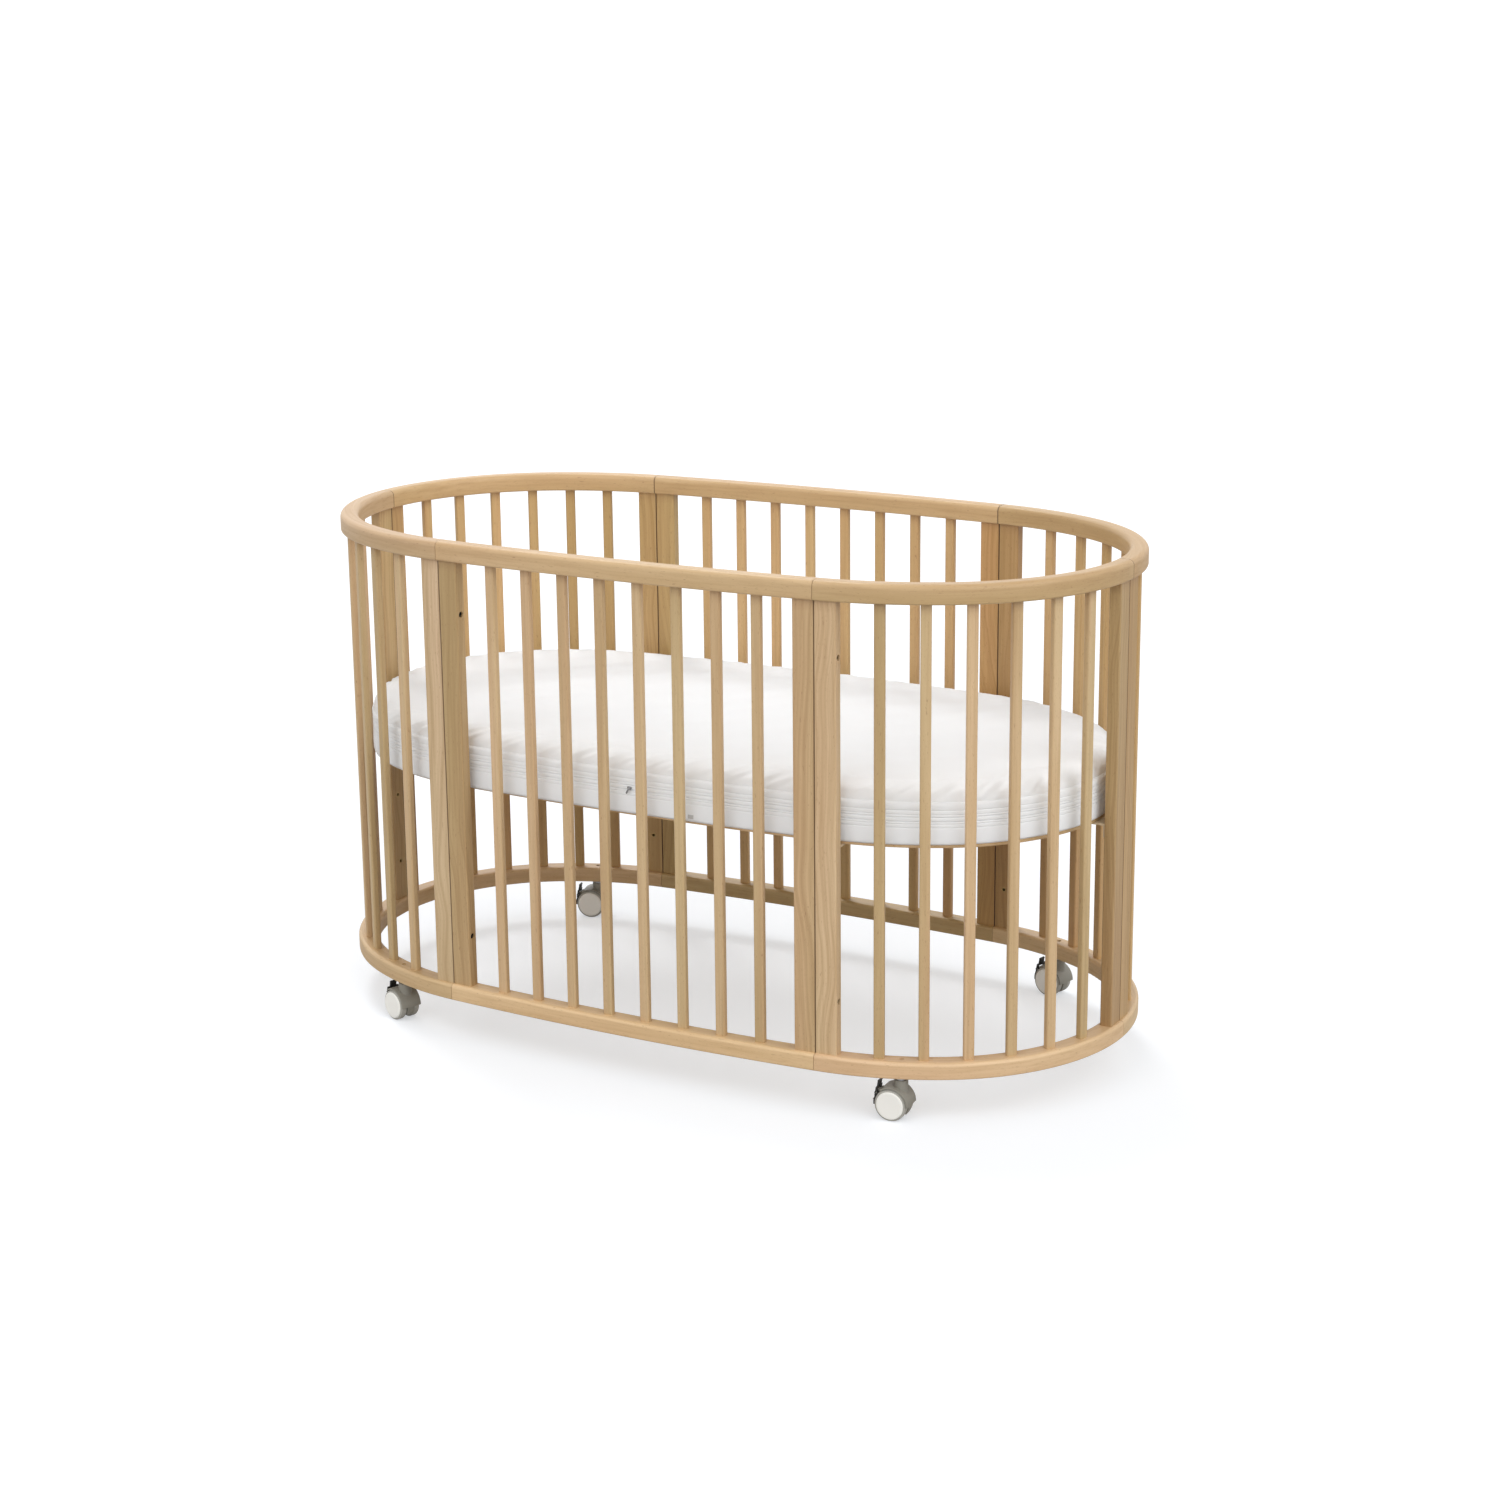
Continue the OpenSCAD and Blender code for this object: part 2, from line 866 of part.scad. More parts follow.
// Half section of a wheel, radius along x and width along y, seen from the inner face
module wheel_section() {
    width = wheel_outer_face - wheel_inner_face;
    r = wheel_radius;
    difference() {
        union() {
            square([r - tread_round, width]);
            translate([0, tread_round])
                square([r, width - 2 * tread_round]);
            for (y = [tread_round, width - tread_round])
                translate([r - tread_round, y])
                    circle(tread_round);
            square([cap_radius, width + cap_rise]);
        }
        // Groove between the tyre and the cap
        translate([cap_radius, width - rim_groove])
            square([rim_groove, 2 * rim_groove]);
        // Blind hole for the axle
        translate([0, -1])
            square([axle_radius + axle_play, axle_half_length - wheel_inner_face + 1.4]);
        // Hollow inner side
        translate([9, -1])
            square([r - 16, 5]);
    }
}

// The outer wheel is the one that faces away from the middle of the crib. side is -1 or 1, for
// the wheel on the -Y or +Y side of the caster's own frame.
module wheel(corner, turn, side) {
    color("gainsboro")
        at_caster(corner, turn)
            translate([-caster_trail, side * wheel_inner_face, axle_z])
                rotate([side > 0 ? -90 : 90, 0, 0])
                    rotate_extrude()
                        wheel_section();
}

// Rocking brake lever: a pad that meets both treads below the pin, a narrower tab above it
module brake_lever(corner, turn) {
    pad = wheel_radius + lever_pad_gap;
    tab_foot = around_axle(pad + 1.4, 160);
    tab_tip = around_axle(39.5, 124);
    tab = tab_tip - tab_foot;
    across = lever_gauge * [-tab.y, tab.x] / norm(tab);
    fork = tab_foot + 0.62 * tab;
    color("dimgray")
        at_caster(corner, turn)
            difference() {
                union() {
                    side_view(lever_half_width)
                        ring_sector(pad, pad + lever_gauge, 154, 186);
                    side_view(lever_cheek_half)
                        polygon([tab_foot, fork, fork + across, tab_foot + across]);
                    side_view(lever_tab_half)
                        polygon([tab_foot, tab_tip, tab_tip + across, tab_foot + across]);
                    side_view(lever_tab_half)
                        translate(tab_tip + across / 2)
                            circle(lever_gauge / 2 + 0.4);
                    side_view(lever_cheek_half)
                        translate(lever_pivot)
                            circle(lever_knuckle_radius);
                    side_view(lever_tab_half)
                        polygon([around_axle(pad + 1, 182), around_axle(pad + 7.5, 177),
                            around_axle(pad + 1, 172)]);
                }
                side_view(lever_half_width + 1)
                    translate(lever_pivot)
                        circle(lever_pin_radius + lever_pin_play);
                // Slot that straddles the ear of the housing
                side_view(web_half + 0.3)
                    translate(lever_pivot + [2, -1])
                        square([12, 14], center = true);
            }
}

// ---------------------------------------------------------------- all nodes

side_top_rail(FRONT);  // front_side_top_rail
side_bottom_rail(FRONT);  // front_side_bottom_rail
to_side(FRONT) slats(side_slats);  // front_side_slats
boards_of_side(FRONT);  // front_side_boards
side_top_rail(BACK);  // back_side_top_rail
side_bottom_rail(BACK);  // back_side_bottom_rail
to_side(BACK) slats(side_slats);  // back_side_slats
boards_of_side(BACK);  // back_side_boards
quarter_top_rail(FRONT_LEFT);  // front_left_top_rail
quarter_bottom_rail(FRONT_LEFT);  // front_left_bottom_rail
to_corner(FRONT_LEFT) slats(quarter_slats);  // front_left_slats
boards_of_quarter(FRONT_LEFT);  // front_left_boards
quarter_top_rail(FRONT_RIGHT);  // front_right_top_rail
quarter_bottom_rail(FRONT_RIGHT);  // front_right_bottom_rail
to_corner(FRONT_RIGHT) slats(quarter_slats);  // front_right_slats
boards_of_quarter(FRONT_RIGHT);  // front_right_boards
quarter_top_rail(BACK_LEFT);  // back_left_top_rail
quarter_bottom_rail(BACK_LEFT);  // back_left_bottom_rail
to_corner(BACK_LEFT) slats(quarter_slats);  // back_left_slats
boards_of_quarter(BACK_LEFT);  // back_left_boards
quarter_top_rail(BACK_RIGHT);  // back_right_top_rail
quarter_bottom_rail(BACK_RIGHT);  // back_right_bottom_rail
to_corner(BACK_RIGHT) slats(quarter_slats);  // back_right_slats
boards_of_quarter(BACK_RIGHT);  // back_right_boards
joint_bolts();
joint_nuts();
threaded_inserts();
base_brackets();
bracket_screws();
base_screws();
base_left_plate();
base_right_plate();
base_batten();
batten_screws();
mattress();
stem_sockets();
caster_stems();
caster_housing(FRONT_LEFT, front_left_turn);  // front_left_caster_housing
caster_axle(FRONT_LEFT, front_left_turn);  // front_left_caster_axle
wheel(FRONT_LEFT, front_left_turn, -1);  // front_left_outer_wheel
wheel(FRONT_LEFT, front_left_turn, 1);  // front_left_inner_wheel
brake_lever(FRONT_LEFT, front_left_turn);  // front_left_brake_lever
caster_housing(FRONT_RIGHT, front_right_turn);  // front_right_caster_housing
caster_axle(FRONT_RIGHT, front_right_turn);  // front_right_caster_axle
wheel(FRONT_RIGHT, front_right_turn, -1);  // front_right_outer_wheel
wheel(FRONT_RIGHT, front_right_turn, 1);  // front_right_inner_wheel
brake_lever(FRONT_RIGHT, front_right_turn);  // front_right_brake_lever
caster_housing(BACK_LEFT, back_left_turn);  // back_left_caster_housing
caster_axle(BACK_LEFT, back_left_turn);  // back_left_caster_axle
wheel(BACK_LEFT, back_left_turn, 1);  // back_left_outer_wheel
wheel(BACK_LEFT, back_left_turn, -1);  // back_left_inner_wheel
brake_lever(BACK_LEFT, back_left_turn);  // back_left_brake_lever
caster_housing(BACK_RIGHT, back_right_turn);  // back_right_caster_housing
caster_axle(BACK_RIGHT, back_right_turn);  // back_right_caster_axle
wheel(BACK_RIGHT, back_right_turn, 1);  // back_right_outer_wheel
wheel(BACK_RIGHT, back_right_turn, -1);  // back_right_inner_wheel
brake_lever(BACK_RIGHT, back_right_turn);  // back_right_brake_lever
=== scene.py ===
import math

import bmesh
import bpy
import numpy as np
from mathutils import Matrix, Vector


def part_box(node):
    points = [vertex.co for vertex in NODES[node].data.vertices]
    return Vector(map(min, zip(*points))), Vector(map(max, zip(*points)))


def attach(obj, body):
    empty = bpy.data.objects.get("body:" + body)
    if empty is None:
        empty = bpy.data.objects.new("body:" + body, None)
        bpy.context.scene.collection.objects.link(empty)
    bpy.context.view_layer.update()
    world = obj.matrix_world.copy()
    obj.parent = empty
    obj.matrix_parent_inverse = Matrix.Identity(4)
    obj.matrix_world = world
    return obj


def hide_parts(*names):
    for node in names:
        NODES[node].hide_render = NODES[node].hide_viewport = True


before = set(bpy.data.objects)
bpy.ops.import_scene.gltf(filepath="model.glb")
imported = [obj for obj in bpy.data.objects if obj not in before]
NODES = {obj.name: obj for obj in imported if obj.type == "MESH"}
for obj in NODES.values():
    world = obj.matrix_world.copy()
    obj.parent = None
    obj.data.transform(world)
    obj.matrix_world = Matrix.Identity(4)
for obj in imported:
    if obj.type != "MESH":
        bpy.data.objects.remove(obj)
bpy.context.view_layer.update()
SCENE = bpy.context.scene
COLLECTION = SCENE.collection

# ------------------------------------------------------------------ plan of the oval
# The same arcs as the CAD model's, in metres. Angles run from +Y towards +X.
SIDE_RADIUS = 4.860
HALF_WIDTH = 0.354
SEAM_X = 0.342
SHOULDER_RADIUS = 0.459
SHOULDER_ANGLE = math.radians(29)


def heading(a):
    return np.array([math.sin(a), math.cos(a)])


SEAM_ANGLE = math.asin(SEAM_X / SIDE_RADIUS)
SIDE_CENTRE = np.array([0.0, HALF_WIDTH - SIDE_RADIUS])
SHOULDER_CENTRE = SIDE_CENTRE + (SIDE_RADIUS - SHOULDER_RADIUS) * heading(SEAM_ANGLE)
SHOULDER_END = SHOULDER_CENTRE + SHOULDER_RADIUS * heading(SHOULDER_ANGLE)
END_RADIUS = SHOULDER_END[1] / math.cos(SHOULDER_ANGLE)
END_CENTRE = np.array([SHOULDER_END[0] - END_RADIUS * math.sin(SHOULDER_ANGLE), 0.0])

TOP_RAIL_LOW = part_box("front_side_top_rail")[0].z
MATTRESS_LOW, MATTRESS_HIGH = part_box("mattress")
MATTRESS_INSET = 0.025


def quarter_points(inset, step):
    """Points and outward directions of the +X +Y quarter, from mid side to the end."""
    arcs = [
        (SIDE_CENTRE, SIDE_RADIUS, 0.0, SEAM_ANGLE),
        (SHOULDER_CENTRE, SHOULDER_RADIUS, SEAM_ANGLE, SHOULDER_ANGLE),
        (END_CENTRE, END_RADIUS, SHOULDER_ANGLE, math.pi / 2),
    ]
    points, outward = [], []
    for centre, radius, low, high in arcs:
        count = max(2, round((radius - inset) * (high - low) / step))
        for i in range(count):
            a = low + (high - low) * i / count
            points.append(centre + (radius - inset) * heading(a))
            outward.append(heading(a))
    return points, outward


def oval(inset, step):
    """Closed outline, anticlockwise from above: points and outward directions."""
    p, d = quarter_points(inset, step)
    end = END_CENTRE + (END_RADIUS - inset) * np.array([1.0, 0.0])
    quarter = list(zip(p, d)) + [(end, np.array([1.0, 0.0]))]
    path = []
    for sx, sy, back in ((1, 1, True), (-1, 1, False), (-1, -1, True), (1, -1, False)):
        run = quarter[::-1] if back else quarter
        flip = np.array([sx, sy])
        path += [(flip * a, flip * b) for a, b in run[:-1]]
    return np.array([a for a, _ in path]), np.array([b for _, b in path])


# ------------------------------------------------------------------ node materials
class Graph:
    """Short-hand for building a material's nodes."""

    def __init__(self, name):
        self.material = bpy.data.materials.new(name)
        self.material.use_nodes = True
        self.tree = self.material.node_tree
        self.shader = self.tree.nodes["Principled BSDF"]

    def node(self, kind, **settings):
        n = self.tree.nodes.new(kind)
        for key, value in settings.items():
            setattr(n, key, value)
        return n

    def link(self, source, target):
        self.tree.links.new(source, target)

    def put(self, socket, value):
        if isinstance(value, bpy.types.NodeSocket):
            self.link(value, socket)
        else:
            socket.default_value = value

    def coords(self):
        return self.node("ShaderNodeTexCoord").outputs["Object"]

    def vmath(self, operation, a, b=None):
        n = self.node("ShaderNodeVectorMath", operation=operation)
        self.put(n.inputs[0], a)
        if b is not None:
            self.put(n.inputs[1], b)
        return n.outputs["Value" if operation in ("LENGTH", "DOT_PRODUCT") else "Vector"]

    def math(self, operation, a, b=None):
        n = self.node("ShaderNodeMath", operation=operation)
        self.put(n.inputs[0], a)
        if b is not None:
            self.put(n.inputs[1], b)
        return n.outputs[0]

    def split(self, vector):
        n = self.node("ShaderNodeSeparateXYZ")
        self.link(vector, n.inputs[0])
        return n.outputs

    def join(self, x, y, z):
        n = self.node("ShaderNodeCombineXYZ")
        for socket, value in zip(n.inputs, (x, y, z)):
            self.put(socket, value)
        return n.outputs[0]

    def noise(self, vector, scale=1.0, detail=2.0, roughness=0.5, distortion=0.0):
        n = self.node("ShaderNodeTexNoise")
        self.link(vector, n.inputs["Vector"])
        for key, value in (("Scale", scale), ("Detail", detail), ("Roughness", roughness),
                           ("Distortion", distortion)):
            n.inputs[key].default_value = value
        return n.outputs["Fac"]

    def ramp(self, value, stops, kind="LINEAR"):
        n = self.node("ShaderNodeValToRGB")
        n.color_ramp.interpolation = kind
        elements = n.color_ramp.elements
        while len(elements) < len(stops):
            elements.new(0.5)
        for element, (position, colour) in zip(elements, stops):
            element.position = position
            if not hasattr(colour, "__len__"):
                colour = (colour,) * 3
            element.color = (*colour, 1.0)
        self.link(value, n.inputs[0])
        return n.outputs[0]

    def mix(self, amount, a, b, blend="MIX"):
        n = self.node("ShaderNodeMix", data_type="RGBA", blend_type=blend)
        self.put(n.inputs["Factor"], amount)
        for socket, value in ((n.inputs[6], a), (n.inputs[7], b)):
            if isinstance(value, tuple):
                value = (*value, 1.0)
            self.put(socket, value)
        return n.outputs[2]

    def bump(self, height, strength, distance):
        n = self.node("ShaderNodeBump")
        n.inputs["Strength"].default_value = strength
        n.inputs["Distance"].default_value = distance
        self.link(height, n.inputs["Height"])
        return n.outputs[0]

    def finish(self, colour, roughness, normal=None, **constants):
        """Sets up the shader. The constants' names are its sockets', with _ for a space."""
        self.link(colour, self.shader.inputs["Base Color"])
        self.put(self.shader.inputs["Roughness"], roughness)
        if normal is not None:
            self.link(normal, self.shader.inputs["Normal"])
        for key, value in constants.items():
            self.shader.inputs[key.replace("_", " ")].default_value = value
        return self.material


# Light beech, in linear colour
BEECH_PALE = (0.645, 0.460, 0.262)
BEECH_MID = (0.550, 0.372, 0.192)
BEECH_DEEP = (0.410, 0.248, 0.110)
# the flecks' colour, also the colour of the painted shade under the top rail
BEECH_FLECK_AND_SHADE = (0.280, 0.140, 0.060)
SEAM_SHADE = (0.090, 0.050, 0.022)
TINT_REACH = 0.8          # the boards' tints are laid out from -0.8 m to 0.8 m along the crib


def grain_coords(g, layout, centre=(0.0, 0.0), radius=1.0):
    """Two coordinates across the grain, then one along it, in metres."""
    x, y, z = g.split(g.coords())
    if layout == "upright":
        return g.join(x, y, z)
    if layout == "along":
        return g.join(y, z, x)
    dx = g.math("SUBTRACT", x, centre[0])
    dy = g.math("SUBTRACT", y, centre[1])
    away = g.math("SQRT", g.math("ADD", g.math("MULTIPLY", dx, dx), g.math("MULTIPLY", dy, dy)))
    turn = g.math("ARCTAN2", dx, dy)
    return g.join(away, z, g.math("MULTIPLY", turn, radius))


def beech(name, layout, offset=0.0, tints=((0.0, (1.0, 1.0, 1.0)),), pieces=0.0,
          centre=(0.0, 0.0), radius=1.0, plies=False, rings=False, seam=0.0):
    """Lacquered light beech. pieces is how many tone patches there are per metre across; tints
    are (x from which it holds, multiplier), for boards of one node that differ, partly their
    own tone and partly painted light and shade; rings adds the arched growth rings of a
    flat-sawn board; seam is how dark the painted shade line between two panels is."""
    g = Graph(name)
    x, y, z = g.split(g.coords())
    p = grain_coords(g, layout, centre, radius)
    p = g.vmath("ADD", p, (offset, offset * 0.7, offset * 1.3))
    # long soft figure, fine streaks, and the short dark rays that mark beech
    figure = g.noise(g.vmath("MULTIPLY", p, (46.0, 46.0, 1.9)), 1.0, 3.0, 0.55, 0.6)
    streaks = g.noise(g.vmath("MULTIPLY", p, (230.0, 230.0, 5.5)), 1.0, 4.0, 0.6, 0.2)
    pores = g.noise(g.vmath("MULTIPLY", p, (1100.0, 1100.0, 150.0)), 1.0, 1.0, 0.5)
    flecks = g.noise(g.vmath("MULTIPLY", p, (420.0, 420.0, 95.0)), 1.0, 1.0, 0.5)
    patch = g.noise(g.vmath("MULTIPLY", p, (pieces, pieces, 0.35)), 1.0, 1.0, 0.5)
    colour = g.mix(g.ramp(figure, [(0.30, 0.0), (0.72, 1.0)]), BEECH_PALE, BEECH_MID)
    if rings:
        along = g.split(p)[2]
        sway = g.noise(g.join(offset, 0.0, g.math("MULTIPLY", along, 2.6)), 1.0, 2.0, 0.5)
        across = g.math("SUBTRACT", g.math("ADD", x, y), g.math("MULTIPLY", sway, 0.11))
        place = g.join(g.math("MULTIPLY", across, 190.0), offset, g.math("MULTIPLY", along, 0.8))
        ring = g.noise(place, 1.0, 3.0, 0.55)
        colour = g.mix(g.math("MULTIPLY", g.ramp(ring, [(0.42, 0.0), (0.66, 1.0)]), 0.55),
                       colour, BEECH_DEEP)
    colour = g.mix(g.math("MULTIPLY", g.ramp(streaks, [(0.46, 0.0), (0.78, 1.0)]), 0.46),
                   colour, BEECH_DEEP)
    rays = g.ramp(pores, [(0.66, 0.0), (0.74, 1.0)])
    colour = g.mix(g.math("MULTIPLY", rays, 0.34), colour, BEECH_FLECK_AND_SHADE)
    colour = g.mix(g.math("MULTIPLY", g.ramp(flecks, [(0.70, 0.0), (0.76, 1.0)]), 0.42),
                   colour, BEECH_FLECK_AND_SHADE)
    warm = g.ramp(patch, [(0.30, (0.82, 0.79, 0.70)), (0.5, (1.0, 1.0, 1.0)),
                          (0.70, (1.09, 1.09, 1.14))])
    colour = g.mix(1.0, colour, warm, "MULTIPLY")
    hue = g.noise(g.vmath("MULTIPLY", g.vmath("ADD", p, (3.1, 7.7, 1.9)), (pieces, pieces, 0.5)),
                  1.4, 1.0, 0.5)
    pinkish = g.ramp(hue, [(0.36, (1.020, 0.982, 0.975)), (0.64, (0.970, 1.005, 0.945))])
    colour = g.mix(1.0, colour, pinkish, "MULTIPLY")
    if plies:
        layer = g.math("PINGPONG", g.math("MULTIPLY", z, 1000.0), 1.3)
        colour = g.mix(g.math("MULTIPLY", g.ramp(layer, [(0.3, 0.0), (0.7, 1.0)]), 0.35),
                       colour, BEECH_DEEP)
    if len(tints) > 1:
        lengthwise = g.math("DIVIDE", g.math("ADD", x, TINT_REACH), 2 * TINT_REACH)
        stops = [((at + TINT_REACH) / (2 * TINT_REACH) if at else 0.0, value)
                 for at, value in tints]
        tint = g.ramp(lengthwise, stops, "CONSTANT")
    else:
        tint = tints[0][1]
    colour = g.mix(1.0, colour, tint, "MULTIPLY")
    if layout == "upright":
        # painted shade under the top rail, darkest where the uprights meet it
        painted_shade_under_rail = g.math("MULTIPLY", g.math("SUBTRACT", TOP_RAIL_LOW, z), 30.0)
        colour = g.mix(g.ramp(painted_shade_under_rail, [(0.03, 0.30), (0.55, 0.0)]), colour, BEECH_FLECK_AND_SHADE)
    if seam:
        # painted shade: the dark line of the gap where two panels meet, at the four side seams
        # and at the two end seams
        sides = g.math("ABSOLUTE", g.math("SUBTRACT", g.vmath(
            "DOT_PRODUCT", g.vmath("ABSOLUTE", g.coords()), SEAM_TANGENT), SEAM_PLACE))
        nearest = g.math("MINIMUM", sides, g.math("ABSOLUTE", y))
        line = g.ramp(g.math("MULTIPLY", nearest, 100.0), [(0.05, seam), (0.17, 0.0)])
        colour = g.mix(line, colour, SEAM_SHADE)
    rough = g.math("ADD", 0.40, g.math("MULTIPLY", streaks, 0.16))
    height = g.math("SUBTRACT", g.math("MULTIPLY", streaks, 0.6), g.math("MULTIPLY", rays, 0.5))
    normal = g.bump(height, 0.16, 0.0004)
    return g.finish(colour, rough, normal, Coat_Weight=0.10, Coat_Roughness=0.28)


def plastic(name, colour, roughness=0.42, speckle=0.05, wear=0.10):
    """Moulded plastic with a fine spark-eroded texture and a little handling wear."""
    g = Graph(name)
    c = g.coords()
    fine = g.noise(c, 2600.0, 2.0, 0.6)
    cloud = g.noise(c, 70.0, 3.0, 0.6)
    lighter = tuple(min(1.0, v * (1 + speckle) + 0.01) for v in colour)
    darker = tuple(v * (1 - speckle) for v in colour)
    base = g.mix(fine, darker, lighter)
    rubbed = g.math("MULTIPLY", g.ramp(cloud, [(0.52, 0.0), (0.75, 1.0)]), wear)
    dusty = tuple(min(1.0, v * 0.8 + 0.12) for v in colour)
    base = g.mix(rubbed, base, dusty)
    rough = g.math("ADD", roughness, g.math("MULTIPLY", cloud, 0.12))
    return g.finish(base, rough, g.bump(fine, 0.12, 0.00015))


def steel(name, colour, roughness=0.33, metallic=1.0):
    """Zinc-plated or blackened steel with fine turning marks."""
    g = Graph(name)
    c = g.coords()
    marks = g.noise(g.vmath("MULTIPLY", c, (900.0, 900.0, 2600.0)), 1.0, 2.0, 0.6)
    cloud = g.noise(c, 160.0, 3.0, 0.6)
    base = g.mix(cloud, tuple(v * 0.82 for v in colour), colour)
    rough = g.math("ADD", roughness, g.math("MULTIPLY", cloud, 0.15))
    return g.finish(base, rough, g.bump(marks, 0.10, 0.0001), Metallic=metallic)


# ------------------------------------------------------------------ CAD nodes' finishes
PANELS = ("front_side", "back_side", "front_left", "front_right", "back_left", "back_right")
SIGNS = {"front_left": (-1, -1), "front_right": (1, -1),
         "back_left": (-1, 1), "back_right": (1, 1)}


def dress(node, material):
    mesh = NODES[node].data
    mesh.materials.clear()
    mesh.materials.append(material)


# Each board's tint, partly its own tone and partly painted light and shade: the panel's board
# nearer -X, then the other
BOARD_TONES_AND_PAINTED_LIGHT = {
    "front_side": ((0.89, 0.88, 0.84), (0.85, 0.84, 0.79)),
    "back_side": ((0.785, 0.75, 0.57), (0.80, 0.665, 0.45)),
    "front_left": ((0.86, 0.83, 0.76), (0.98, 1.03, 1.12)),
    "front_right": ((1.03, 1.07, 1.14), (0.76, 0.71, 0.62)),
    "back_left": ((0.88, 0.80, 0.68), (0.77, 0.73, 0.54)),
    "back_right": ((0.74, 0.62, 0.46), (0.84, 0.77, 0.66)),
}
# top rails' tints: partly tone, partly painted shade on the back rails and on the rail facing
# left
TOP_RAIL_TONES_AND_PAINTED_SHADE = {"front_left": (0.86, 0.86, 0.86), "front_right": (0.96, 0.95, 0.94),
                  "back": (0.84, 0.80, 0.69)}
# bottom rails' tints: partly tone, partly painted light, most on the front rail that the floor
# lights from below
BOTTOM_RAIL_TONES_AND_PAINTED_LIGHT = {"front_side": (1.32, 1.36, 1.48), "front_right": (1.08, 1.08, 1.12),
                     "back": (0.98, 0.97, 0.95)}
# slats' tints: partly tone, partly painted shade, most on the back slats
SLAT_TONES_AND_PAINTED_SHADE = {"back": (0.92, 0.84, 0.70), "front": (0.95, 0.95, 0.96)}


# The seam planes of the sides, in the quarter where x and y are positive
SEAM_TANGENT = (math.cos(SEAM_ANGLE), -math.sin(SEAM_ANGLE), 0.0)
SEAM_PLACE = float(np.dot(SIDE_CENTRE + SIDE_RADIUS * heading(SEAM_ANGLE), SEAM_TANGENT[:2]))


def tint_of(table, panel):
    return ((0.0, table.get(panel, table.get(panel.split("_")[0], (1.0, 1.0, 1.0)))),)


for index, panel in enumerate(PANELS):
    offset = 1.7 * index + 0.3
    if panel.endswith("side"):
        layout = dict(layout="along")
        between = 0.001
    else:
        sx, sy = SIGNS[panel]
        centre = 0.5 * (SHOULDER_CENTRE + END_CENTRE) * np.array([sx, sy])
        layout = dict(layout="curved", centre=(float(centre[0]), float(centre[1])), radius=0.40)
        between = 0.55 * sx
    first, second = BOARD_TONES_AND_PAINTED_LIGHT[panel]
    at_back = panel.startswith("back")
    dress(panel + "_top_rail",
          beech("beech_" + panel + "_top_rail", offset=offset, pieces=4.0,
                tints=tint_of(TOP_RAIL_TONES_AND_PAINTED_SHADE, panel), seam=0.6 if at_back else 0.0, **layout))
    dress(panel + "_bottom_rail",
          beech("beech_" + panel + "_bottom_rail", offset=offset + 9.1, pieces=4.0,
                tints=tint_of(BOTTOM_RAIL_TONES_AND_PAINTED_LIGHT, panel), **layout))
    dress(panel + "_slats",
          beech("beech_" + panel + "_slats", "upright", offset + 4.4,
                tint_of(SLAT_TONES_AND_PAINTED_SHADE, panel), pieces=14.0))
    dress(panel + "_boards",
          beech("beech_" + panel + "_boards", "upright", offset + 6.6,
                ((0.0, first), (between, second)), pieces=5.0, rings=True,
                seam=0.95 if at_back else 0.75))

plywood = beech("beech_plywood", "along", 21.0, pieces=2.0, plies=True)
dress("base_left_plate", plywood)
dress("base_right_plate", plywood)
dress("base_batten", beech("beech_batten", "along", 27.0, pieces=3.0))

zinc = steel("zinc_plated_steel", (0.62, 0.62, 0.64))
black_steel = steel("blackened_steel", (0.008, 0.008, 0.008), 0.55, 0.2)
for name in ("bracket_screws", "base_screws", "batten_screws", "caster_stems"):
    dress(name, zinc)
dress("base_brackets", plastic("beige_powder_coat", (0.62, 0.49, 0.32), 0.5, 0.06, 0.04))
for name in ("joint_nuts", "stem_sockets"):
    dress(name, black_steel)
bolt_black = plastic("bolt_black", (0.004, 0.004, 0.004), 0.80, 0.1, 0.0)
bolt_black.node_tree.nodes["Principled BSDF"].inputs["Specular IOR Level"].default_value = 0.1
dress("joint_bolts", bolt_black)
dress("threaded_inserts", steel("brass_insert", (0.60, 0.45, 0.20), 0.35))

wheel_grey = plastic("wheel_tyre_grey", (0.400, 0.385, 0.345), 0.46)
cap_pale = plastic("wheel_cap_pale", (0.910, 0.895, 0.845), 0.34, 0.02, 0.06)
hood_grey = plastic("housing_warm_grey", (0.250, 0.237, 0.200), 0.38)
lever_black = plastic("lever_black", (0.016, 0.016, 0.015), 0.40, 0.2, 0.05)
for corner in SIGNS:
    dress(corner + "_caster_housing", hood_grey)
    dress(corner + "_brake_lever", lever_black)
    dress(corner + "_caster_axle", zinc)
    dress(corner + "_outer_wheel", wheel_grey)
    dress(corner + "_inner_wheel", wheel_grey)


# ------------------------------------------------------------------ mesh helpers
def smooth_shaded(mesh):
    mesh.polygons.foreach_set("use_smooth", [True] * len(mesh.polygons))


def add_object(name, verts, faces, material):
    mesh = bpy.data.meshes.new(name)
    mesh.from_pydata([tuple(map(float, v)) for v in verts], [], faces)
    mesh.validate()
    obj = bpy.data.objects.new(name, mesh)
    COLLECTION.objects.link(obj)
    mesh.materials.append(material)
    bm = bmesh.new()
    bm.from_mesh(mesh)
    bmesh.ops.recalc_face_normals(bm, faces=bm.faces)
    bm.to_mesh(mesh)
    bm.free()
    smooth_shaded(mesh)
    return obj


def apply_modifiers(obj):
    """Replaces the object's mesh with what its modifiers make of it."""
    deps = bpy.context.evaluated_depsgraph_get()
    mesh = bpy.data.meshes.new_from_object(obj.evaluated_get(deps), depsgraph=deps)
    old = obj.data
    obj.modifiers.clear()
    obj.data = mesh
    bpy.data.meshes.remove(old)
    smooth_shaded(mesh)


